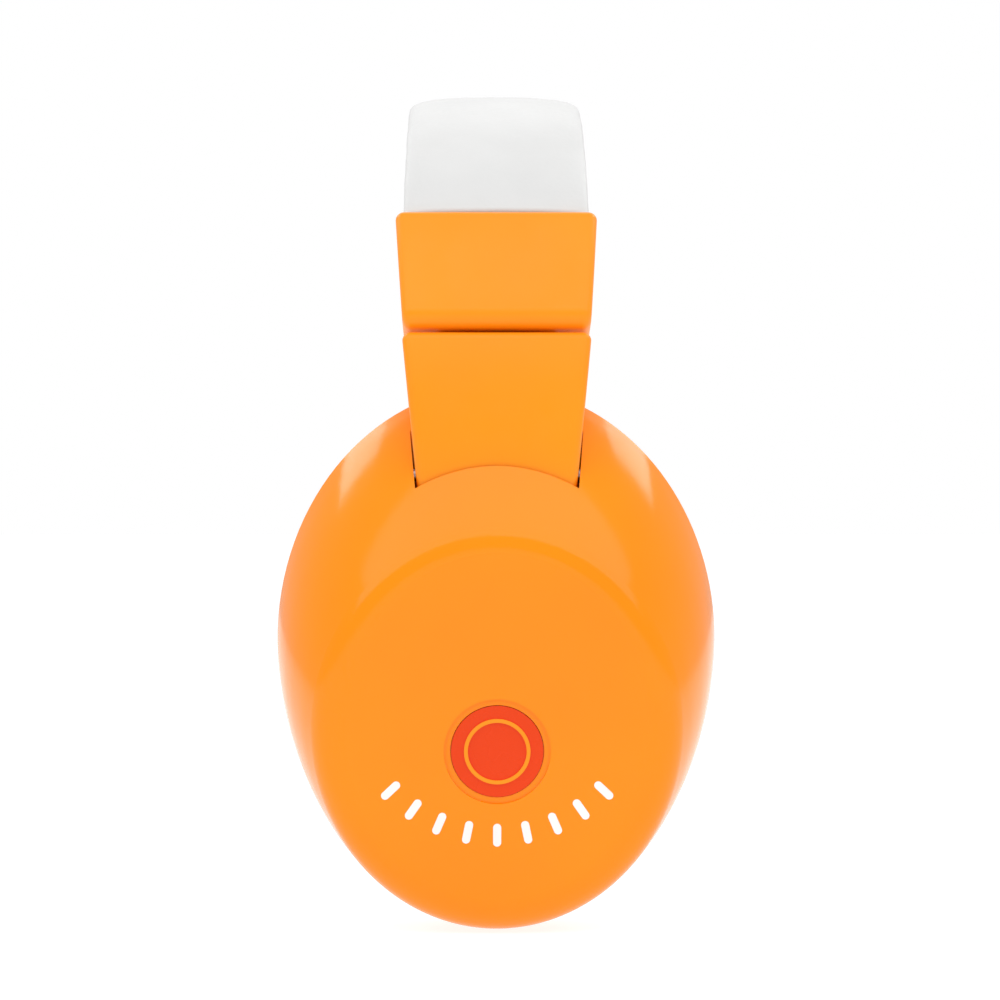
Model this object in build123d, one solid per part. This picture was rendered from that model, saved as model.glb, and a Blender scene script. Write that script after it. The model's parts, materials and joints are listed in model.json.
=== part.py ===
from build123d import *
import math
import os

# Earmuff headset, millimetres. X runs from ear to ear (+X is the left cup), Y from front (-Y) to back,
# Z up. The origin lies midway between the two ear cushions. The left side is modelled, the right is
# its mirror image. Angles on the arch are measured from the crown, in degrees, towards the left cup.

# Arch of the headband
ARCH_Z = 32.0  # height of the arch's centre
ARCH_R = 75.0  # radius of the white cover's outer face
PAD_R = 61.5  # radius of the crown pad's inner face
BAND_WIDTH = 35.0
CORE_R = (71.0, 73.0)
CORE_WIDTH = 26.8
SLOT_R = (68.4, 73.05)  # channel in the cover for the core and the two straps
SLOT_WIDTH = 27.4
COVER_END = 50.2
COVER_ROUND = 4.5
PAD_END = 49.4
PAD_ROUND = 3.0
FOAM_END = 38.0

# End housing that the strap slides in
CAP_R = (64.0, 76.3)
CAP_SPLIT_R = 69.5
CAP_ANGLES = (50.4, 69.85)
CAP_HALF_WIDTHS = (19.1, 17.5)  # at its top and at its bottom
CAP_CAVITY_R = (66.0, 73.8)
CAP_CAVITY_ANGLES = (52.8, 67.7)
CAP_CAVITY_WIDTH = 29.5
CAP_SCREW_ANGLE = 61.0
CAP_SCREW_Y = 16.3
CAP_SCREW_END = 72.0
STOP_ANGLES = (58.3, 59.8)  # ribs that stop the strap's wide head
SPRING_R = (66.2, 66.9)
SPRING_ANGLES = (55.0, 66.8)
SPRING_WIDTH = 8.0
SPRING_BUMP = (67.2, 64.0, 1.0)  # its centre's radius and angle, and its own radius
CAP_CORNER = 1.5
CAP_ROUND = 1.8
CAP_FOOT_ROUND = 3.0

# Slider strap
STRAP_R = (68.6, 70.6)
STRAP_WIDTH = 22.0
STRAP_TOP = 40.0
STRAP_HEAD = 43.0
STRAP_HEAD_WIDTH = 26.0
STRAP_GAP = 0.3
NOTCH_R = 0.45
NOTCH_HALF = 4.5
NOTCH_STEP = 2.5
NOTCH_ANGLES = [64.0 - NOTCH_STEP * n for n in range(8)]
KNUCKLE_R = 2.4
KNUCKLE_HALF = 11.2

# Fold hinge
FOLD_R = 70.6
FOLD_ANGLE = 74.5
FOLD_PIN_R = 1.2
FOLD_PIN_HALF = 15.5

# Arm
ARM_R = (67.0, 75.2)
ARM_ANGLES = (70.45, 96.0)
ARM_HALF_WIDTHS = (17.75, 14.4)
ARM_WALL_R = 73.4
ARM_CAVITY_HALF = 11.6
ARM_CAVITY_END = 84.0
ARM_CUT_ANGLE = 74.9
EAR_R = 2.7
EAR_HALF = 16.2
ARM_COVER_R = 68.8
ARM_COVER_START = 78.2
ARM_SCREW_ANGLE = 81.4
ARM_SCREW_Y = 6.5
ARM_SCREW_END = 72.9
ARM_BOSS_R = 2.0
ARM_CORNER = 1.5
ARM_ROUND = 1.6

# Tilt pin, between the arm and the cup's pocket
TILT_R = 69.6
TILT_ANGLE = 91.5
TILT_PIN_R = 1.25
TILT_PIN_HALF = 16.8
RUNNING = 0.05  # radial clearance of a pin in its moving part
FIXED = 0.02  # radial clearance of a pin in its fixed part
POCKET_GAP = 0.7  # room for the tilt
POCKET_SIDE_GAP = 0.35
POCKET_BACK_GAP = 1.0
POCKET_END = 96.6
POCKET_WALL = 2.2

# Cup. Its own frame has u outward, v up along the rim, and y.
CUP_X = 54.0
CUP_TILT = 8.0  # the cup's foot leans inward by this many degrees
CUP_WALL = 2.4
# depth u, half width, top v, bottom v
CUP_RIM = (0.0, 41.5, 47.5, -50.0)
CUP_MID = (14.0, 38.6, 37.6, -51.6)
CUP_FACE = (28.0, 32.0, 22.4, -51.0)
FACE_ROUND = 7.0
BADGE_V = -16.8
BADGE_R = 8.5
BADGE_DISH_R = 9.8
BADGE_DISH = 0.5
BADGE_HOLE = 1.6
BADGE_THICK = 1.3
PLATE_THICK = 3.0
PLATE_STEP = 0.3
PLATE_OPENING = (24.0, 30.0)
SPIGOT_DEPTH = 1.6
SPIGOT_GAP = 0.8
SPIGOT_WALL = 2.0
PLATE_SCREWS = ((30.5, 8.0), (26.0, -24.0))
PLATE_SCREW_END = 8.5
BOSS_R = 2.8
FOAM_HALF_WIDTH = 25.5
FOAM_V = (-40.0, 20.0)
FOAM_U = (0.6, 20.0)
LINER_U = (-2.4, -1.2)
RING_U = (-5.2, -3.1)
RING_OUTER = (37.0, 44.0)
RING_INNER = (24.5, 30.5)
CUSHION_U = (-21.0, -5.4)
CUSHION_OUTER = (39.0, 46.0)
CUSHION_INNER = (21.0, 27.0)
CUSHION_ROUND = 6.0

SCREW_R = 0.9
SCREW_HEAD_R = 1.5
SCREW_HEAD = 1.2
HEAD_GAP = 0.1
WIDE = 60.0  # wider than the band or the cup's arm
PAST = 1.0  # how far a cut runs past the face it opens

parts = {}


def on_arch(r, angle):
    """Point (x, z) at radius r and this many degrees from the crown."""
    a = math.radians(angle)
    return r * math.sin(a), ARCH_Z + r * math.cos(a)


def arch_block(radii, angles, width, y=0.0):
    """Slab bent round the arch between two radii and two angles, centred at y."""
    inner, outer = radii
    start, end = angles
    middle = (start + end) / 2
    outline = [
        ThreePointArc(on_arch(outer, start), on_arch(outer, middle), on_arch(outer, end)),
        Line(on_arch(outer, end), on_arch(inner, end)),
        ThreePointArc(on_arch(inner, end), on_arch(inner, middle), on_arch(inner, start)),
        Line(on_arch(inner, start), on_arch(outer, start)),
    ]
    face = Plane.XZ * make_face(outline)
    return Pos(0, y, 0) * extrude(face, amount=width / 2, both=True)


def across(r, angle, radius, half_length):
    """Cylinder along Y at a place on the arch."""
    x, z = on_arch(r, angle)
    return Pos(x, 0, z) * Rot(90, 0, 0) * Cylinder(radius, 2 * half_length)


def radial(angle, y, r_from, r_to, radius):
    """Cylinder that points away from the arch's centre."""
    a = math.radians(angle)
    x, z = on_arch(r_from, angle)
    plane = Plane(origin=(x, y, z), x_dir=(0, 1, 0), z_dir=(math.sin(a), 0, math.cos(a)))
    return plane * extrude(Circle(radius), amount=r_to - r_from)


def both_sides(shape):
    """The shape and its mirror image front to back."""
    return shape + mirror(shape, about=Plane.XZ)


def taper(heights, half_widths):
    """Prism along X that narrows in Y from the first height to the second."""
    (top, bottom), (wide, narrow) = heights, half_widths
    outline = Polyline((-wide, top), (wide, top), (narrow, bottom), (-narrow, bottom), close=True)
    return extrude(Plane.YZ * make_face(outline), amount=120)


CUP_PLANE = Plane(
    origin=(CUP_X, 0, 0),
    x_dir=(0, 1, 0),
    z_dir=(math.cos(math.radians(CUP_TILT)), 0, -math.sin(math.radians(CUP_TILT))),
)


def cup_oval(u, half_width, top, bottom):
    return CUP_PLANE * Pos(0, (top + bottom) / 2, u) * Ellipse(half_width, (top - bottom) / 2)


def cup_tube(u_range, outer, inner=None, v=0.0):
    """Oval block along u, with an oval hole if inner is given."""
    low, high = u_range
    face = Ellipse(*outer)
    if inner:
        face -= Ellipse(*inner)
    return CUP_PLANE * Pos(0, v, low) * extrude(face, amount=high - low)


def cup_peg(y, v, u_from, u_to, radius):
    return CUP_PLANE * Pos(y, v, u_from) * extrude(Circle(radius), amount=u_to - u_from)


def headband():
    whole = (-COVER_END, COVER_END)
    cover = arch_block((SLOT_R[0], ARCH_R), whole, BAND_WIDTH)
    long_edges = cover.edges().filter_by(lambda e: e.length > ARCH_R and abs(e.center().Y) > 1)
    cover = fillet(long_edges.sort_by(Axis.Z)[-2:], COVER_ROUND)
    parts["headband_cover"] = cover - arch_block(SLOT_R, (-COVER_END - PAST, COVER_END + PAST), SLOT_WIDTH)
    core_end = CAP_CAVITY_ANGLES[1] - 1.0
    parts["headband_core"] = arch_block(CORE_R, (-core_end, core_end), CORE_WIDTH)
    parts["headband_foam"] = arch_block((SLOT_R[0], CORE_R[0]), (-FOAM_END, FOAM_END), SLOT_WIDTH - 1.0)
    pad = arch_block((PAD_R, SLOT_R[0] - 0.1), (-PAD_END, PAD_END), BAND_WIDTH - 2.0)
    inner_edges = pad.edges().filter_by(lambda e: e.length > PAD_R).sort_by(Axis.Z)[:2]
    parts["crown_pad"] = fillet(inner_edges, PAD_ROUND)


def end_housing():
    heights = (on_arch(ARCH_R, CAP_ANGLES[0])[1], on_arch(ARCH_R, CAP_ANGLES[1])[1])
    block = arch_block(CAP_R, CAP_ANGLES, WIDE)
    foot = block.edges().filter_by(lambda e: edge_at_radius(e, CAP_R[1]) and abs(e.length - WIDE) < PAST)
    block = fillet(foot.sort_by(Axis.Z)[0], CAP_FOOT_ROUND) & taper_past(heights, CAP_HALF_WIDTHS, 12)
    thickness = CAP_R[1] - CAP_R[0]
    top_corners = block.edges().filter_by(lambda e: abs(e.length - thickness) < 1.0)
    block = fillet(top_corners, CAP_CORNER)
    outer_edges = block.edges().filter_by(lambda e: edge_at_radius(e, CAP_R[1]))
    above_foot = outer_edges.filter_by(lambda e: abs(e.center().Y) > PAST or e.center().Z > heights[1] + 5)
    block = fillet(above_foot, CAP_ROUND)
    block -= arch_block(CAP_CAVITY_R, CAP_CAVITY_ANGLES, CAP_CAVITY_WIDTH)
    block -= arch_block(SLOT_R, (CAP_ANGLES[0] - PAST, CAP_SCREW_ANGLE), SLOT_WIDTH)
    slot = (STRAP_R[0] - STRAP_GAP, STRAP_R[1] + STRAP_GAP)
    block -= arch_block(slot, (CAP_SCREW_ANGLE, CAP_ANGLES[1] + PAST), STRAP_WIDTH + 1.0)
    head_end = CAP_R[0] + SCREW_HEAD + HEAD_GAP
    screws = []
    for y in (-CAP_SCREW_Y, CAP_SCREW_Y):
        block -= radial(CAP_SCREW_ANGLE, y, CAP_R[0] - PAST, CAP_SCREW_END + HEAD_GAP, SCREW_R + FIXED)
        block -= radial(CAP_SCREW_ANGLE, y, CAP_R[0] - PAST, head_end, SCREW_HEAD_R + HEAD_GAP)
        screws.append(arch_screw(CAP_SCREW_ANGLE, y, CAP_R[0], CAP_SCREW_END))
    below_split = arch_block((CAP_R[0] - PAST, CAP_SPLIT_R), (CAP_ANGLES[0] - PAST, CAP_ANGLES[1] + PAST), WIDE)
    inner = block & below_split
    rib_half = STRAP_WIDTH / 2 + 0.5
    rib_width = CAP_CAVITY_WIDTH / 2 - rib_half
    rib = arch_block((CAP_CAVITY_R[0], STRAP_R[1]), STOP_ANGLES, rib_width, y=rib_half + rib_width / 2)
    parts["left_cap_outer"] = block - below_split
    parts["left_cap_inner"] = inner + both_sides(rib)
    parts["left_cap_screws"] = Compound(children=screws)
    bump = across(*SPRING_BUMP, SPRING_WIDTH / 2)
    bump &= arch_block((SPRING_R[0], STRAP_R[0] - 0.2), SPRING_ANGLES, SPRING_WIDTH)
    parts["left_detent_spring"] = arch_block(SPRING_R, SPRING_ANGLES, SPRING_WIDTH) + bump


def arch_radius(point):
    return math.hypot(point.X, point.Z - ARCH_Z)


def edge_at_radius(edge, radius):
    """Whether both ends and the middle of an edge lie at this radius of the arch."""
    return all(abs(arch_radius(edge @ t) - radius) < 0.3 for t in (0.0, 0.5, 1.0))


def arch_screw(angle, y, start, end):
    """Pan-head screw that points away from the arch's centre."""
    neck = start + SCREW_HEAD
    return (radial(angle, y, start, neck, SCREW_HEAD_R) + radial(angle, y, neck, end, SCREW_R)).solid()


def cup_screw(y, v, start, end):
    """Pan-head screw that points out of the cup."""
    neck = start + SCREW_HEAD
    return (cup_peg(y, v, start, neck, SCREW_HEAD_R) + cup_peg(y, v, neck, end, SCREW_R)).solid()


def slider():
    strap = arch_block(STRAP_R, (STRAP_HEAD, FOLD_ANGLE - 0.6), STRAP_WIDTH)
    strap += arch_block(STRAP_R, (STRAP_TOP, STRAP_HEAD), STRAP_HEAD_WIDTH)
    strap += across(FOLD_R, FOLD_ANGLE, KNUCKLE_R, KNUCKLE_HALF)
    strap -= across(FOLD_R, FOLD_ANGLE, FOLD_PIN_R + RUNNING, KNUCKLE_HALF + PAST)
    for angle in NOTCH_ANGLES:
        strap -= across(STRAP_R[0], angle, NOTCH_R, NOTCH_HALF)
    parts["left_slider_strap"] = strap
    parts["left_fold_pin"] = across(FOLD_R, FOLD_ANGLE, FOLD_PIN_R, FOLD_PIN_HALF)


def arm():
    heights = (on_arch(ARM_R[1], ARM_ANGLES[0])[1], on_arch(ARM_R[1], ARM_ANGLES[1])[1])
    block = arch_block(ARM_R, ARM_ANGLES, WIDE) & taper_past(heights, ARM_HALF_WIDTHS, 6)
    corners = block.edges().filter_by(lambda e: abs(e.length - (ARM_R[1] - ARM_R[0])) < 0.5)
    block = fillet(corners.filter_by(lambda e: e.center().Z > heights[0] - 8), ARM_CORNER)
    rim = block.edges().filter_by(lambda e: edge_at_radius(e, ARM_R[1]) and e.center().Z > heights[1] + 1)
    block = fillet(rim, ARM_ROUND)

    hollow = (ARM_R[0] - PAST, ARM_WALL_R)
    start = ARM_ANGLES[0] - PAST
    block -= arch_block(hollow, (start, ARM_CUT_ANGLE), WIDE)
    block -= arch_block(hollow, (start, ARM_CAVITY_END), 2 * ARM_CAVITY_HALF)
    block += across(FOLD_R, FOLD_ANGLE, EAR_R, EAR_HALF) - across(FOLD_R, FOLD_ANGLE, EAR_R + PAST, ARM_CAVITY_HALF)
    block -= across(FOLD_R, FOLD_ANGLE, FOLD_PIN_R + FIXED, FOLD_PIN_HALF + HEAD_GAP)
    block -= across(TILT_R, TILT_ANGLE, TILT_PIN_R + RUNNING, WIDE / 2)

    cover_angles = (ARM_COVER_START, ARM_CAVITY_END - 0.1)
    cover = arch_block((ARM_R[0], ARM_COVER_R), cover_angles, 2 * ARM_CAVITY_HALF - 0.2)
    head_end = ARM_R[0] + SCREW_HEAD + HEAD_GAP
    screws = []
    for y in (-ARM_SCREW_Y, ARM_SCREW_Y):
        block += radial(ARM_SCREW_ANGLE, y, ARM_COVER_R + 0.05, ARM_WALL_R + PAST / 2, ARM_BOSS_R)
        hole = radial(ARM_SCREW_ANGLE, y, ARM_R[0] - PAST, ARM_SCREW_END + HEAD_GAP, SCREW_R + FIXED)
        block -= hole
        cover -= hole + radial(ARM_SCREW_ANGLE, y, ARM_R[0] - PAST, head_end, SCREW_HEAD_R + HEAD_GAP)
        screws.append(arch_screw(ARM_SCREW_ANGLE, y, ARM_R[0], ARM_SCREW_END))
    parts["left_arm_outer"] = block
    parts["left_arm_inner"] = cover
    parts["left_arm_screws"] = Compound(children=screws)


def taper_past(heights, half_widths, past):
    """Taper run past both heights on the same slopes."""
    (top, bottom), (wide, narrow) = heights, half_widths
    slope = (wide - narrow) / (top - bottom)
    return taper((top + past, bottom - past), (wide + slope * past, narrow - slope * past))


def cup_solid():
    """The cup's outer shape, and its hollow."""
    sections = (CUP_RIM, CUP_MID, CUP_FACE)
    outer = loft([cup_oval(*s).face() for s in sections])
    face_edge = outer.edges().sort_by(lambda e: CUP_PLANE.to_local_coords(e.center()).Z)[-1]
    inside = []
    for u, half_width, top, bottom in sections:
        depth = min(u, CUP_FACE[0] - CUP_WALL)
        inside.append(cup_oval(depth, half_width - CUP_WALL, top - CUP_WALL, bottom + CUP_WALL).face())
    return fillet(face_edge, FACE_ROUND), loft(inside)


def pocket(gap, wall, side_gap):
    """Block round the foot of the arm, this much bigger than the arm."""
    heights = (on_arch(ARM_R[1], ARM_ANGLES[0])[1], on_arch(ARM_R[1], ARM_ANGLES[1])[1])
    radii = (ARM_R[0] - POCKET_BACK_GAP - wall, ARM_R[1] + gap + wall)
    half_widths = [w + side_gap + wall for w in ARM_HALF_WIDTHS]
    angles = (ARM_ANGLES[0] - PAST, POCKET_END + math.degrees(wall / ARM_R[0]))
    return arch_block(radii, angles, WIDE) & taper_past(heights, half_widths, 8)


def cup():
    outer, hollow = cup_solid()
    hollow -= pocket(POCKET_GAP, POCKET_WALL, POCKET_SIDE_GAP)
    for screw_y, v in PLATE_SCREWS:
        for y in (-screw_y, screw_y):
            hollow -= cup_peg(y, v, 0.1, CUP_FACE[0], BOSS_R)
    shell = outer - hollow - pocket(POCKET_GAP, 0, POCKET_SIDE_GAP)
    shell -= across(TILT_R, TILT_ANGLE, TILT_PIN_R + FIXED, TILT_PIN_HALF + HEAD_GAP)
    face_u = CUP_FACE[0]
    shell -= cup_peg(0, BADGE_V, face_u - BADGE_DISH, face_u + PAST, BADGE_DISH_R)
    shell -= cup_peg(0, BADGE_V, face_u - BADGE_HOLE, face_u + PAST, BADGE_R + HEAD_GAP)

    rim_half_height = (CUP_RIM[2] - CUP_RIM[3]) / 2
    rim_v = (CUP_RIM[2] + CUP_RIM[3]) / 2
    plate_half = (CUP_RIM[1] - PLATE_STEP, rim_half_height - PLATE_STEP)
    plate = cup_tube((-PLATE_THICK, -FIXED), plate_half, v=rim_v)
    spigot = [half - CUP_WALL - SPIGOT_GAP for half in (CUP_RIM[1], rim_half_height)]
    plate += cup_tube((-0.1, SPIGOT_DEPTH), spigot, [half - SPIGOT_WALL for half in spigot], v=rim_v)
    plate -= cup_tube((-PLATE_THICK - PAST, PAST), PLATE_OPENING)

    screws = []
    for side in (-1, 1):
        for screw_y, v in PLATE_SCREWS:
            y = side * screw_y
            hole = cup_peg(y, v, -PLATE_THICK - PAST, PLATE_SCREW_END + 0.5, SCREW_R + FIXED)
            head_end = -PLATE_THICK + SCREW_HEAD + HEAD_GAP
            shell -= hole
            plate -= hole + cup_peg(y, v, -PLATE_THICK - PAST, head_end, SCREW_HEAD_R + HEAD_GAP)
            screws.append(cup_screw(y, v, -PLATE_THICK, PLATE_SCREW_END))
    parts["left_cup_shell"] = shell
    parts["left_back_plate"] = plate
    parts["left_plate_screws"] = Compound(children=screws)
    parts["left_tilt_pin"] = across(TILT_R, TILT_ANGLE, TILT_PIN_R, TILT_PIN_HALF)
    badge_u = face_u - BADGE_HOLE
    parts["left_badge"] = cup_peg(0, BADGE_V, badge_u, badge_u + BADGE_THICK, BADGE_R)


def cup_soft_parts():
    foam_v = (FOAM_V[0] + FOAM_V[1]) / 2
    foam_half = (FOAM_HALF_WIDTH, (FOAM_V[1] - FOAM_V[0]) / 2)
    parts["left_sound_foam"] = cup_tube(FOAM_U, foam_half, v=foam_v)
    parts["left_ear_liner"] = cup_tube(LINER_U, [half - 0.2 for half in PLATE_OPENING])
    parts["left_cushion_ring"] = cup_tube(RING_U, RING_OUTER, RING_INNER)
    cushion = cup_tube(CUSHION_U, CUSHION_OUTER, CUSHION_INNER)
    inner_edges = cushion.edges().group_by(lambda e: round(CUP_PLANE.to_local_coords(e.center()).Z, 2))[0]
    parts["left_ear_cushion"] = fillet(inner_edges, CUSHION_ROUND)


headband()
end_housing()
slider()
arm()
cup()
cup_soft_parts()

os.makedirs("parts", exist_ok=True)
for name, shape in parts.items():
    export_step(shape, f"parts/{name}.step")
    if name.startswith("left_"):
        export_step(mirror(shape, about=Plane.YZ), f"parts/{name.replace('left_', 'right_')}.step")
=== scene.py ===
"""Looks of a child's earmuff hearing protector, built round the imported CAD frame.

Metres. +X is the left cup, +Y the back, +Z the crown.
"""
import json
import math

import bmesh
import bpy
from mathutils import Matrix, Vector, noise


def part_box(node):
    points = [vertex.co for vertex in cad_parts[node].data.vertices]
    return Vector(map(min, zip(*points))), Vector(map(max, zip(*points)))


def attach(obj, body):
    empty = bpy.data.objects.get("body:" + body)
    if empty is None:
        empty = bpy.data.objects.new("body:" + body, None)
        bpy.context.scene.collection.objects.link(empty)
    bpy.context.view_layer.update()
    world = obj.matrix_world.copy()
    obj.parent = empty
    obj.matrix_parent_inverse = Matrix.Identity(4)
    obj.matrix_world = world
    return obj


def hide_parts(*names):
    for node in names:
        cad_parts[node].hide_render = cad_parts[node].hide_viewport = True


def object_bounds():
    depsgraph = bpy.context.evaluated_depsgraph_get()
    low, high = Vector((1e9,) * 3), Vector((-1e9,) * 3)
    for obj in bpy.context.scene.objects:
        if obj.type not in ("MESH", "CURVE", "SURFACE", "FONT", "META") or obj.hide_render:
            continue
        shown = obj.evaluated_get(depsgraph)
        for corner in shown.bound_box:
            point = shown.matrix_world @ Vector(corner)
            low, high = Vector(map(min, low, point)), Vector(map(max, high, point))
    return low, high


MM = 0.001
SIDES = ("left", "right")

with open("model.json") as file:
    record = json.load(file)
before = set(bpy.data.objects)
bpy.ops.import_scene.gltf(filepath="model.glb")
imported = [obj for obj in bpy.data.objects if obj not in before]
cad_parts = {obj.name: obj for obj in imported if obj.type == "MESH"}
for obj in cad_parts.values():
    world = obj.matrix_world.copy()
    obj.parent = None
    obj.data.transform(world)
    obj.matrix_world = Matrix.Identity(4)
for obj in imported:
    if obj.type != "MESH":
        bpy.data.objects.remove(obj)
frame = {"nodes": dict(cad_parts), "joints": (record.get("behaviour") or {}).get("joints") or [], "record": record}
cad_low, cad_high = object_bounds()
nodes = frame["nodes"]
mounts = {m["name"]: m for m in frame["record"]["mounts"]}

# ---------------------------------------------------------------- places read from the frame

seal_at = Vector(mounts["left_ear_seal"]["pos_m"])
CUP_OUT = -Vector(mounts["left_ear_seal"]["axis"])  # out of the left cup's face
CUP_UP = Vector((-CUP_OUT.z, 0, CUP_OUT.x))
SEAL_DEPTH = 21.0 * MM  # the mount lies this far inside the cup's rim plane
SEAL_UP = 36.5 * MM  # and this far above its centre
CUP_AT = seal_at + CUP_OUT * SEAL_DEPTH - CUP_UP * SEAL_UP

size_joint = next(j for j in frame["joints"] if j["name"] == "left_size")
ARCH_AT = Vector(size_joint["pos_m"])
COVER_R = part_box("headband_cover")[1].z - ARCH_AT.z
PAD_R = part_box("crown_pad")[1].z - ARCH_AT.z
BAND_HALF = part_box("headband_cover")[1].y
PAD_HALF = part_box("crown_pad")[1].y


def cup_point(y, v, u):
    """A point of the left cup: y to the back, v up along the rim, u outward."""
    return CUP_AT + Vector((0, y, 0)) + CUP_UP * v + CUP_OUT * u


def arch_point(r, angle, y):
    """A point at radius r of the arch, this many radians from the crown towards the left cup."""
    return ARCH_AT + Vector((r * math.sin(angle), y, r * math.cos(angle)))


# ---------------------------------------------------------------- materials


def new_material(name, roughness, colour, metallic=0.0, **sockets):
    """Principled material; returns it with its node tree and shader."""
    mat = bpy.data.materials.new(name)
    mat.use_nodes = True
    tree = mat.node_tree
    shader = tree.nodes["Principled BSDF"]
    shader.inputs["Base Color"].default_value = (*colour, 1)
    shader.inputs["Roughness"].default_value = roughness
    shader.inputs["Metallic"].default_value = metallic
    for key, value in sockets.items():
        shader.inputs[key.replace("_", " ")].default_value = value
    return mat, tree, shader


def texture(tree, kind, scale, detail=None):
    """A 3-D texture node on object coordinates."""
    coords = tree.nodes.get("Coords") or tree.nodes.new("ShaderNodeTexCoord")
    coords.name = "Coords"
    node = tree.nodes.new(kind)
    node.inputs["Scale"].default_value = scale
    if detail is not None:
        node.inputs["Detail"].default_value = detail
    tree.links.new(coords.outputs["Object"], node.inputs["Vector"])
    return node


def ramp(tree, source, low, high, start=0.0, end=1.0):
    """Maps a texture's value onto low to high."""
    node = tree.nodes.new("ShaderNodeMapRange")
    tree.links.new(source, node.inputs["Value"])
    for key, value in (("From Min", start), ("From Max", end), ("To Min", low), ("To Max", high)):
        node.inputs[key].default_value = value
    return node.outputs["Result"]


def bump(tree, shader, heights, distance=0.0002):
    """Chains bumps: heights is a list of (output, strength)."""
    last = None
    for output, strength in heights:
        node = tree.nodes.new("ShaderNodeBump")
        node.inputs["Strength"].default_value = strength
        node.inputs["Distance"].default_value = distance
        tree.links.new(output, node.inputs["Height"])
        if last:
            tree.links.new(last.outputs["Normal"], node.inputs["Normal"])
        last = node
    tree.links.new(last.outputs["Normal"], shader.inputs["Normal"])


def tint(tree, shader, factor, colour_a, colour_b):
    """Base colour that wanders between two colours."""
    mix = tree.nodes.new("ShaderNodeMix")
    mix.data_type = "RGBA"
    tree.links.new(factor, mix.inputs["Factor"])
    mix.inputs["A"].default_value = (*colour_a, 1)
    mix.inputs["B"].default_value = (*colour_b, 1)
    tree.links.new(mix.outputs["Result"], shader.inputs["Base Color"])


def moulded_plastic(name, colour, roughness, grain, grain_strength, ior=1.4, coat=0.0):
    """Injection-moulded plastic: slow colour drift, faint surface ripple and a fine grain."""
    mat, tree, shader = new_material(name, roughness, colour, IOR=ior)
    shader.inputs["Coat Weight"].default_value = coat
    shader.inputs["Coat Roughness"].default_value = 0.06
    drift = texture(tree, "ShaderNodeTexNoise", 28, 3)
    darker = [c * 0.95 for c in colour]
    tint(tree, shader, ramp(tree, drift.outputs["Fac"], 0, 1, 0.35, 0.65), darker, colour)
    smear = texture(tree, "ShaderNodeTexNoise", 160, 6)
    tree.links.new(
        ramp(tree, smear.outputs["Fac"], roughness * 0.85, roughness * 1.2, 0.3, 0.7),
        shader.inputs["Roughness"],
    )
    ripple = texture(tree, "ShaderNodeTexNoise", 45, 1)
    fine = texture(tree, "ShaderNodeTexNoise", grain, 4)
    bump(tree, shader, [(ripple.outputs["Fac"], 0.03), (fine.outputs["Fac"], grain_strength)])
    return mat


def leatherette(name, colour, crease=0.25):
    """Soft coated fabric: pebbled grain with fine creases."""
    mat, tree, shader = new_material(name, 0.5, colour, IOR=1.4)
    shader.inputs["Sheen Weight"].default_value = 0.08
    shader.inputs["Sheen Roughness"].default_value = 0.4
    pebble = texture(tree, "ShaderNodeTexVoronoi", 1100)
    pebble.feature = "SMOOTH_F1"
    fine = texture(tree, "ShaderNodeTexNoise", 2600, 5)
    folds = texture(tree, "ShaderNodeTexNoise", 210, 4)
    drift = texture(tree, "ShaderNodeTexNoise", 40, 3)
    greyer = [c * 0.94 for c in colour]
    tint(tree, shader, ramp(tree, drift.outputs["Fac"], 0, 1, 0.35, 0.65), greyer, colour)
    tree.links.new(ramp(tree, pebble.outputs["Distance"], 0.42, 0.6), shader.inputs["Roughness"])
    bump(
        tree,
        shader,
        [
            (folds.outputs["Fac"], crease * 0.4),
            (pebble.outputs["Distance"], crease),
            (fine.outputs["Fac"], crease * 0.5),
        ],
        0.00012,
    )
    return mat


def open_foam(name, colour):
    """Open-cell foam: deep pits, with painted shade that is darkest at their middles."""
    mat, tree, shader = new_material(name, 0.95, colour)
    cells = texture(tree, "ShaderNodeTexVoronoi", 900)
    specks = texture(tree, "ShaderNodeTexNoise", 1800, 4)
    # painted shade: the colour darkens towards each pit's middle, where the bump is lowest
    darker = [c * 0.3 for c in colour]
    tint(tree, shader, ramp(tree, cells.outputs["Distance"], 0, 1, 0.1, 0.6), darker, colour)
    bump(tree, shader, [(cells.outputs["Distance"], 0.9), (specks.outputs["Fac"], 0.5)], 0.0006)
    return mat


def knit(name, colour):
    """Thin knitted cloth: two crossed waves make the stitches, with painted shade between them and painted
    highlight on their tops.
    """
    mat, tree, shader = new_material(name, 0.85, colour)
    shader.inputs["Sheen Weight"].default_value = 0.3
    waves = []
    for direction in ("Y", "Z"):
        wave = texture(tree, "ShaderNodeTexWave", 420)
        wave.bands_direction = direction
        wave.inputs["Distortion"].default_value = 0.6
        waves.append(wave.outputs["Fac"])
    weave = tree.nodes.new("ShaderNodeMath")
    weave.operation = "MULTIPLY"
    tree.links.new(waves[0], weave.inputs[0])
    tree.links.new(waves[1], weave.inputs[1])
    # painted shade in the hollows between stitches and painted highlight on their tops, following the same waves
    # as the bump
    darker = [c * 0.35 for c in colour]
    lighter = [min(1, c * 1.9) for c in colour]
    tint(tree, shader, weave.outputs["Value"], darker, lighter)
    bump(tree, shader, [(weave.outputs["Value"], 0.8)], 0.0003)
    return mat


def turned_steel(name, colour):
    """Bare steel with uneven polish."""
    mat, tree, shader = new_material(name, 0.32, colour, metallic=1.0)
    lines = texture(tree, "ShaderNodeTexNoise", 900, 6)
    tree.links.new(ramp(tree, lines.outputs["Fac"], 0.22, 0.42, 0.3, 0.7), shader.inputs["Roughness"])
    bump(tree, shader, [(lines.outputs["Fac"], 0.12)], 0.0001)
    return mat


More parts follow.
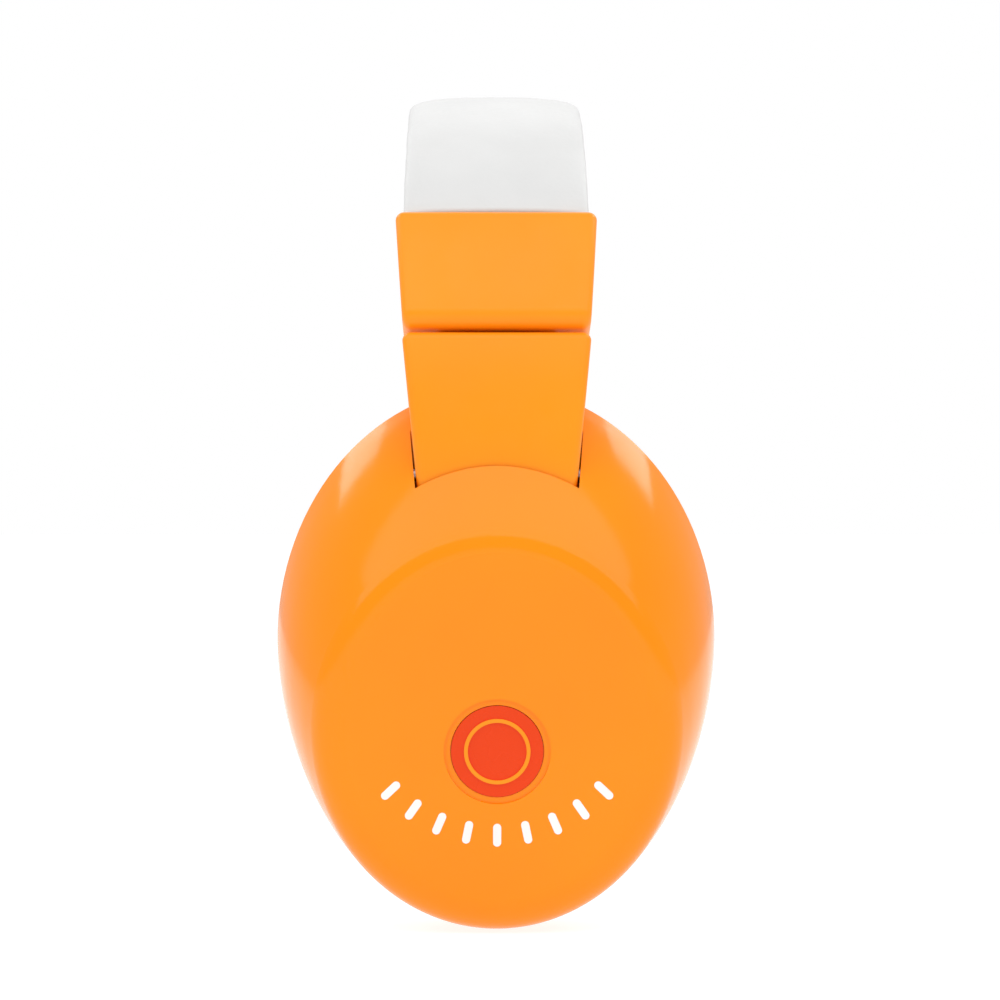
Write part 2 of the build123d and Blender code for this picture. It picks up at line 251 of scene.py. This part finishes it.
CUP_ORANGE = (0.98, 0.262, 0.0)
HOUSING_ORANGE = (0.98, 0.288, 0.003)
# The strap's orange is the housing's plastic made darker: painted shade for a strap that sits deep in its slot.
STRAP_SHADED_ORANGE = (0.93, 0.16, 0.001)
BADGE_ORANGE = (0.8, 0.05, 0.0004)
MATERIALS = {
    "orange_gloss": moulded_plastic("gloss_orange_plastic", CUP_ORANGE, 0.14, 900, 0.01, ior=1.34),
    "orange_satin": moulded_plastic("satin_orange_plastic", HOUSING_ORANGE, 0.38, 2400, 0.1, ior=1.34),
    # painted shade: the strap's darker orange
    "orange_strap": moulded_plastic("strap_orange_plastic_painted_shade", STRAP_SHADED_ORANGE, 0.4, 2400, 0.1),
    "badge_orange": moulded_plastic("badge_deep_orange", BADGE_ORANGE, 0.28, 1500, 0.05, ior=1.3),
    "white_plastic": moulded_plastic("white_plastic", (0.84, 0.84, 0.84), 0.38, 2000, 0.08),
    "white_leather": leatherette("white_leatherette", (0.665, 0.665, 0.66)),
    "foam": open_foam("grey_foam", (0.16, 0.16, 0.17)),
    "liner_cloth": knit("liner_knit", (0.09, 0.09, 0.1)),
    "screw_steel": turned_steel("screw_steel", (0.62, 0.62, 0.64)),
    "spring_steel": turned_steel("spring_steel", (0.5, 0.5, 0.53)),
}
PRINT = moulded_plastic("white_print", (0.9, 0.88, 0.86), 0.45, 2000, 0.05)
THREAD, _, _ = new_material("sewing_thread", 0.8, (0.72, 0.72, 0.73))

for row in frame["record"]["subparts"]:
    mesh = nodes[row["node"]].data
    mesh.materials.clear()
    mesh.materials.append(MATERIALS[row["material_slot"]])

# ---------------------------------------------------------------- mesh helpers


def smooth(obj):
    """Shades every face smooth."""
    for polygon in obj.data.polygons:
        polygon.use_smooth = True
    return obj


def new_object(name, vertices, faces, material):
    """A smooth-shaded mesh object with its faces turned outward."""
    mesh = bpy.data.meshes.new(name)
    mesh.from_pydata([tuple(v) for v in vertices], [], faces)
    work = bmesh.new()
    work.from_mesh(mesh)
    bmesh.ops.recalc_face_normals(work, faces=work.faces)
    work.to_mesh(mesh)
    work.free()
    obj = bpy.data.objects.new(name, mesh)
    bpy.context.scene.collection.objects.link(obj)
    mesh.materials.append(material)
    return smooth(obj)


def ring_faces(rows, columns, close_rows=True):
    """Quads of a grid that wraps in its columns, and in its rows if close_rows."""
    faces = []
    for i in range(rows if close_rows else rows - 1):
        for j in range(columns):
            a, b = i * columns, ((i + 1) % rows) * columns
            k = (j + 1) % columns
            faces.append((a + j, a + k, b + k, b + j))
    return faces


def mirrored(obj, name):
    """The same piece on the right side."""
    mesh = obj.data.copy()
    mesh.transform(Matrix.Diagonal((-1, 1, 1, 1)))
    mesh.flip_normals()
    twin = bpy.data.objects.new(name, mesh)
    bpy.context.scene.collection.objects.link(twin)
    return twin


def swell(obj, pinned, pressure, cap, frames=14):
    """Blows a closed skin up a little as cloth.

    The pinned vertices are held, and no vertex moves further than cap.
    """
    start = [v.co.copy() for v in obj.data.vertices]
    group = obj.vertex_groups.new(name="pinned")
    group.add(pinned, 1.0, "REPLACE")
    cloth = obj.modifiers.new("cloth", "CLOTH")
    cloth.settings.vertex_group_mass = group.name
    cloth.settings.use_pressure = True
    cloth.settings.uniform_pressure_force = pressure
    cloth.settings.effector_weights.gravity = 0
    cloth.settings.tension_stiffness = 12
    cloth.settings.compression_stiffness = 12
    cloth.settings.bending_stiffness = 0.4
    scene = bpy.context.scene
    cloth.point_cache.frame_start, cloth.point_cache.frame_end = 1, frames
    for number in range(1, frames + 1):
        scene.frame_set(number)
    shape = obj.evaluated_get(bpy.context.evaluated_depsgraph_get())
    moved = [v.co.copy() for v in shape.data.vertices]
    obj.modifiers.remove(cloth)
    obj.vertex_groups.remove(group)
    for vertex, before, after in zip(obj.data.vertices, start, moved):
        step = after - before
        if step.length > cap:
            step = step.normalized() * cap
        vertex.co = before + step
    scene.frame_set(1)
    obj.data.update()


def subdivide(obj):
    """One level of subdivision."""
    modifier = obj.modifiers.new("subdivision", "SUBSURF")
    modifier.levels = modifier.render_levels = 1
    return obj


STITCH_STEPS, STITCH_SIDES = 5, 6


def sew(name, middles, radius, place, material):
    """Separate stitches with tapered ends, one at each middle.

    place(middle, along, out, aside) gives a point: along the stitch from -1 to 1, then two
    lengths across it.
    """
    vertices, faces = [], []
    for middle in middles:
        first = len(vertices)
        for i in range(STITCH_STEPS):
            along = i / (STITCH_STEPS - 1) * 2 - 1
            thick = radius * math.sqrt(max(0.05, 1 - along * along * 0.95))
            for j in range(STITCH_SIDES):
                a = 2 * math.pi * j / STITCH_SIDES
                vertices.append(place(middle, along, thick * math.cos(a), thick * math.sin(a)))
        for i in range(STITCH_STEPS - 1):
            a, b = first + i * STITCH_SIDES, first + (i + 1) * STITCH_SIDES
            for j in range(STITCH_SIDES):
                k = (j + 1) % STITCH_SIDES
                faces.append((a + j, a + k, b + k, b + j))
        last = first + (STITCH_STEPS - 1) * STITCH_SIDES
        faces.append(tuple(first + j for j in range(STITCH_SIDES))[::-1])
        faces.append(tuple(last + j for j in range(STITCH_SIDES)))
    return new_object(name, vertices, faces, material)


# ---------------------------------------------------------------- ear cushions

CUSHION_BASE, CUSHION_TOP = -5.4 * MM, -21.0 * MM
CUSHION_OUTER = (39.0 * MM, 46.0 * MM)
CUSHION_INNER = (21.0 * MM, 27.0 * MM)
CUSHION_CORNER = 0.62  # power of the section's curve: 1 is an ellipse, less is squarer
CUSHION_FILL = 0.985  # share of the depth that the skin takes up before it is blown up
GATHERS = 46
GATHER_DEPTH = 0.28 * MM
GATHER_REACH = 30.0 * MM  # rim radius that the gathers' depth is scaled by
BASE_DEPTH = 0.03  # share of the depth that stays flat and held on the cup

WELT_HALF = (38.1 * MM, 45.1 * MM)
WELT_U = -8.5 * MM
WELT_RADIUS = 0.6 * MM
SEAM_HALF = (22.6 * MM, 28.6 * MM)
SEAM_U = -20.3 * MM
SEAM_STITCHES = 86
SEAM_STITCH_LENGTH = 1.3 * MM
SEAM_STITCH_RADIUS = 0.2 * MM


def cushion_profile(steps):
    """The ring's section as (share from inner to outer edge, depth): a full D with tucked-in feet."""
    points = []
    for k in range(steps):
        a = 2 * math.pi * k / steps
        c, s = math.cos(a), math.sin(a)
        across = 0.5 + 0.5 * math.copysign(abs(c) ** CUSHION_CORNER, c)
        depth = 0.5 + 0.5 * math.copysign(abs(s) ** CUSHION_CORNER, s)
        tuck = 0.11 * max(0.0, 1 - depth * 3.2)
        across = across + (tuck if c < 0 else -tuck)
        points.append((across, depth))
    return points


def ear_cushion():
    """The left cushion's skin: a closed oval ring, gathered at its seams."""
    rows, columns = 160, 44
    profile = cushion_profile(columns)
    vertices, pinned = [], []
    for i in range(rows):
        t = 2 * math.pi * i / rows
        c, s = math.cos(t), math.sin(t)
        for j, (across, depth) in enumerate(profile):
            y = c * (CUSHION_INNER[0] + (CUSHION_OUTER[0] - CUSHION_INNER[0]) * across)
            v = s * (CUSHION_INNER[1] + (CUSHION_OUTER[1] - CUSHION_INNER[1]) * across)
            u = CUSHION_BASE + (CUSHION_TOP - CUSHION_BASE) * (CUSHION_FILL * depth)
            # gathers at the inner and outer seams, strongest near the base
            edge = abs(across - 0.5) * 2
            pucker = noise.noise(Vector((c * 9, s * 9, 3.1 * across))) * 0.5
            pucker += 0.5 * math.sin(t * GATHERS + 2 * noise.noise(Vector((c * 4, s * 4, 0))))
            lift = GATHER_DEPTH * pucker * edge * (1 - depth) * (1 if depth > BASE_DEPTH else 0)
            shrink = 1 - lift / GATHER_REACH
            vertices.append(cup_point(y * shrink, v * shrink, u))
            if depth < BASE_DEPTH:
                pinned.append(i * columns + j)
    faces = ring_faces(rows, columns)
    cushion = new_object("left_ear_cushion_skin", vertices, faces, MATERIALS["white_leather"])
    swell(cushion, pinned, 2.0, 0.5 * MM)
    return subdivide(cushion)


def oval_cord(name, half_y, half_v, u, radius, material):
    """A thin welt that follows an oval."""
    rows, columns = 200, 8
    vertices = []
    for i in range(rows):
        t = 2 * math.pi * i / rows
        out = Vector((math.cos(t), math.sin(t)))
        for j in range(columns):
            a = 2 * math.pi * j / columns
            grow = radius * math.cos(a)
            y, v = (half_y + grow) * out.x, (half_v + grow) * out.y
            vertices.append(cup_point(y, v, u + radius * math.sin(a)))
    return new_object(name, vertices, ring_faces(rows, columns), material)


def oval_stitches(name, half_y, half_v, u, count, length, radius, material):
    """Stitches laid end to end along an oval."""
    span = length / ((half_y + half_v) / 2)

    def place(middle, along, out, aside):
        t = middle + along * span / 2
        return cup_point((half_y + out) * math.cos(t), (half_v + out) * math.sin(t), u + aside)

    middles = [2 * math.pi * n / count for n in range(count)]
    return sew(name, middles, radius, place, material)


# ---------------------------------------------------------------- headband soft parts

COVER_LOW_R = 68.4 * MM
COVER_END = math.radians(50.2)
PAD_LOW_R, PAD_HIGH_R = 61.5 * MM, 68.3 * MM
PAD_END = math.radians(49.3)
PAD_PANELS = 5
PAD_SEAM_R = 64.05 * MM  # where the cross stitches lie
PAD_STITCHES = 11  # in each row
PAD_STITCH_RADIUS = 0.22 * MM


def band_sleeve(name, r_low, r_high, half, angle, section, material, rows, columns):
    """Sweeps a closed section along the arch, from -angle to angle.

    section(angle round it, share along the arch) gives y from -1 to 1 and r from 0 to 1.
    """
    vertices = []
    for i in range(rows):
        share = i / (rows - 1)
        a = -angle + 2 * angle * share
        for j in range(columns):
            y, r = section(2 * math.pi * j / columns, share)
            vertices.append(arch_point(r_low + (r_high - r_low) * r, a, half * y))
    faces = ring_faces(rows, columns, close_rows=False)
    faces.append(tuple(range(columns))[::-1])
    faces.append(tuple((rows - 1) * columns + j for j in range(columns)))
    return new_object(name, vertices, faces, material)


def rounded(a, power_y, power_r):
    """A point of a section with round corners: the lower the powers, the squarer it is."""
    c, s = math.cos(a), math.sin(a)
    y = math.copysign(abs(c) ** power_y, c)
    r = 0.5 + 0.5 * math.copysign(abs(s) ** power_r, s)
    return y, r


def cover_section(a, share):
    """Outer cover: soft-cornered block, crowned outside, widest at its feet and rounder at the crown."""
    foot = abs(2 * share - 1) ** 1.5
    y, r = rounded(a, 0.5 - 0.14 * foot, 0.5 - 0.1 * foot)
    crown = 0.1 * (1 - y * y) if r > 0.5 else 0.0
    side = 0.006 * noise.noise(Vector((share * 26, r * 2, 5.0 if y > 0 else 1.0)))
    return y * (0.975 + 0.04 * foot - 0.02 * (1 - r) + side * (abs(y) > 0.8)), r * 0.95 + crown


def pad_section(a, share):
    """Crown pad: puffed panels between sewn cross seams, fullest on the head side."""
    y, r = rounded(a, 0.45, 0.55)
    panel = share * PAD_PANELS % 1.0
    seam = min(panel, 1 - panel)
    at_end = share < 0.5 / PAD_PANELS and panel < 0.5 or share > 1 - 0.5 / PAD_PANELS and panel > 0.5
    puff = 1 - math.exp(-seam * 16) if not at_end else 1.0
    r_puffed = r if r > 0.55 else 0.55 - (0.55 - r) * (0.42 + 0.58 * puff)
    pucker = 0.02 * noise.noise(Vector((share * 60, y * 5, r * 3))) * (1 - puff)
    return y * (0.955 + 0.04 * puff) + pucker, r_puffed


def cross_stitches(name, angles, half, radius, material):
    """Rows of stitches across the pad, one row at each angle."""
    length = half / PAD_STITCHES * 1.2

    def place(middle, along, out, aside):
        angle, y = middle
        return arch_point(radius + out, angle + aside / COVER_R, y + along * length / 2)

    first, pitch = (PAD_STITCHES - 1) / 2, PAD_STITCHES / 2
    across = [(n - first) / pitch * half * 0.86 for n in range(PAD_STITCHES)]
    return sew(name, [(a, y) for a in angles for y in across], PAD_STITCH_RADIUS, place, material)


# ---------------------------------------------------------------- put the soft parts on their bodies

cushion = ear_cushion()
welt = oval_cord("left_cushion_welt", *WELT_HALF, WELT_U, WELT_RADIUS, MATERIALS["white_leather"])
stitches = oval_stitches(
    "left_cushion_stitches",
    *SEAM_HALF,
    SEAM_U,
    SEAM_STITCHES,
    SEAM_STITCH_LENGTH,
    SEAM_STITCH_RADIUS,
    THREAD,
)
twins = {
    cushion: mirrored(cushion, "right_ear_cushion_skin"),
    welt: mirrored(welt, "right_cushion_welt"),
    stitches: mirrored(stitches, "right_cushion_stitches"),
}
subdivide(twins[cushion])
for piece, twin in twins.items():
    for side, obj in zip(SIDES, (piece, twin)):
        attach(obj, f"{side}_cup")
        if piece is cushion:
            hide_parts(f"{side}_ear_cushion")

cover = band_sleeve(
    "headband_cover_skin",
    COVER_LOW_R,
    COVER_R,
    BAND_HALF,
    COVER_END,
    cover_section,
    MATERIALS["white_leather"],
    rows=120,
    columns=64,
)
pad = band_sleeve(
    "crown_pad_skin",
    PAD_LOW_R,
    PAD_HIGH_R,
    PAD_HALF,
    PAD_END,
    pad_section,
    MATERIALS["white_leather"],
    rows=200,
    columns=56,
)
seam_angles = [-PAD_END + 2 * PAD_END * n / PAD_PANELS for n in range(1, PAD_PANELS)]
thread = cross_stitches("crown_pad_stitches", seam_angles, PAD_HALF, PAD_SEAM_R, THREAD)
for obj in (cover, pad, thread):
    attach(obj, "headband")
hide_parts("headband_cover")
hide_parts("crown_pad")

# ---------------------------------------------------------------- print marks on the cup's face

FACE_U = 28.0 * MM
BADGE_TOP_U = 27.7 * MM
BADGE_V = -16.8 * MM
BADGE_RING_RADII = (5.4 * MM, 6.1 * MM)
BADGE_RING_THICKNESS = 0.25 * MM
MARK_ARC_V = -5.4 * MM  # centre of the arc of marks
MARK_ARC_R = 27.0 * MM
MARK_COUNT = 9
MARK_STEP = math.radians(11.6)
MARK_SIZE = (1.5 * MM, 4.3 * MM)
PRINT_THICKNESS = 0.06 * MM


def printed(name, loops, u, thickness, material):
    """A thin flat print on a plane of the cup.

    It fills one outline, or the area between two that have the same number of points.
    """
    vertices, faces = [], []
    for loop in loops:
        for height in (0.0, thickness):
            vertices += [cup_point(y, v, u + height) for y, v in loop]
    n = len(loops[0])

    def strip(a, b):
        """Quads between the loops of vertices that start at a and at b."""
        return [(a + k, a + (k + 1) % n, b + (k + 1) % n, b + k) for k in range(n)]

    for part in range(len(loops)):
        faces += strip(2 * n * part, 2 * n * part + n)
    if len(loops) == 1:
        faces += [tuple(range(n)), tuple(range(n, 2 * n))]
    else:
        for low in (0, n):
            faces += strip(low, low + 2 * n)
    obj = new_object(name, vertices, faces, material)
    for polygon in obj.data.polygons:
        polygon.use_smooth = False
    return obj


def capsule(y, v, lean, width, length, steps=10):
    """Outline of a bar with round ends, leaning by an angle from v."""
    c, s = math.cos(lean), math.sin(lean)
    points = []
    for end in (1, -1):
        for k in range(steps + 1):
            a = math.pi * k / steps - (0 if end > 0 else math.pi)
            across = width / 2 * math.cos(a)
            along = end * (length - width) / 2 + width / 2 * math.sin(a)
            points.append((y + across * c - along * s, v + across * s + along * c))
    return points


def circle(radius, v, steps=72):
    """Outline of a circle on the cup's middle line, at height v."""
    return [
        (radius * math.cos(2 * math.pi * k / steps), v + radius * math.sin(2 * math.pi * k / steps))
        for k in range(steps)
    ]


marks = []
for n in range(MARK_COUNT):
    a = (n - (MARK_COUNT - 1) / 2) * MARK_STEP
    y, v = MARK_ARC_R * math.sin(a), MARK_ARC_V - MARK_ARC_R * math.cos(a)
    marks.append(printed(f"mark_{n}", [capsule(y, v, a, *MARK_SIZE)], FACE_U, PRINT_THICKNESS, PRINT))
bpy.ops.object.select_all(action="DESELECT")
for obj in marks:
    obj.select_set(True)
bpy.context.view_layer.objects.active = marks[0]
bpy.ops.object.join()
marks = marks[0]
marks.name = "left_face_marks"
ring = printed(
    "left_badge_ring",
    [circle(radius, BADGE_V) for radius in BADGE_RING_RADII],
    BADGE_TOP_U,
    BADGE_RING_THICKNESS,
    MATERIALS["orange_satin"],
)
for piece, twin_name in ((marks, "right_face_marks"), (ring, "right_badge_ring")):
    for side, obj in zip(SIDES, (piece, mirrored(piece, twin_name))):
        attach(obj, f"{side}_cup")

# ---------------------------------------------------------------- stage, lights and camera

FLOOR_HALF = 8.0
FLOOR_GAP = 0.5 * MM  # below the lowest point
FLOOR_GLOW = 0.84  # with the lights on it, this makes the floor as white as the backdrop

floor_mesh = bpy.data.meshes.new("floor")
floor_z = cad_low.z - FLOOR_GAP
corners = ((-1, -1), (1, -1), (1, 1), (-1, 1))
floor_mesh.from_pydata(
    [(x * FLOOR_HALF, y * FLOOR_HALF, floor_z) for x, y in corners], [], [(0, 1, 2, 3)]
)
floor = bpy.data.objects.new("floor", floor_mesh)
bpy.context.scene.collection.objects.link(floor)
floor_mat, _, floor_shader = new_material("floor_white", 0.9, (0.3, 0.3, 0.3))
floor_shader.inputs["Emission Color"].default_value = (1, 1, 1, 1)
floor_shader.inputs["Emission Strength"].default_value = FLOOR_GLOW
floor_mesh.materials.append(floor_mat)

VIEW_DISTANCE = 0.70  # from the cup's face to the camera
VIEW_WIDTH = 0.183  # width of the frame at the cup's face
FACE_X = 0.080
CAMERA_Y, TARGET_Y = -0.006, 0.0005
CAMERA_Z = 0.0256
camera_data = bpy.data.cameras.new("camera")
camera = bpy.data.objects.new("camera", camera_data)
bpy.context.scene.collection.objects.link(camera)
camera_data.lens = camera_data.sensor_width * VIEW_DISTANCE / VIEW_WIDTH
camera.location = (FACE_X + VIEW_DISTANCE, CAMERA_Y, CAMERA_Z)
target = Vector((FACE_X, TARGET_Y, CAMERA_Z))
camera.rotation_mode = "QUATERNION"
camera.rotation_quaternion = (target - camera.location).to_track_quat("-Z", "Y")
bpy.context.scene.camera = camera


def area_light(name, at, aim, size, power):
    """A white rectangular light at one point, aimed at another."""
    data = bpy.data.lights.new(name, "AREA")
    data.shape = "RECTANGLE"
    data.size, data.size_y = size
    data.energy = power
    obj = bpy.data.objects.new(name, data)
    obj.location = at
    obj.rotation_mode = "QUATERNION"
    obj.rotation_quaternion = (Vector(aim) - Vector(at)).to_track_quat("-Z", "Y")
    bpy.context.scene.collection.objects.link(obj)


CUP_AIM = (0.03, 0, 0.03)
area_light("key_top", (0.8, 0.0, 1.2), CUP_AIM, (5.0, 1.2), 27)
area_light("back_top", (-0.9, 0.0, 1.0), (0, 0, 0.03), (2.0, 1.0), 6)
for name, y in (("rim_left", -0.8), ("rim_right", 0.8)):
    area_light(name, (-0.55, y, 0.8), CUP_AIM, (0.4, 0.35), 1.6)

FILL_STRENGTH = 0.6  # light from all round; the camera sees a plain white backdrop instead
world = bpy.data.worlds.new("studio")
bpy.context.scene.world = world
world.use_nodes = True
tree = world.node_tree
fill = tree.nodes["Background"]
fill.inputs["Color"].default_value = (1, 1, 1, 1)
fill.inputs["Strength"].default_value = FILL_STRENGTH
backdrop = tree.nodes.new("ShaderNodeBackground")
backdrop.inputs["Color"].default_value = (1, 1, 1, 1)
backdrop.inputs["Strength"].default_value = 1.0
path = tree.nodes.new("ShaderNodeLightPath")
mix = tree.nodes.new("ShaderNodeMixShader")
tree.links.new(path.outputs["Is Camera Ray"], mix.inputs["Fac"])
tree.links.new(fill.outputs["Background"], mix.inputs[1])
tree.links.new(backdrop.outputs["Background"], mix.inputs[2])
tree.links.new(mix.outputs["Shader"], tree.nodes["World Output"].inputs["Surface"])
bpy.context.scene.view_settings.view_transform = "Standard"
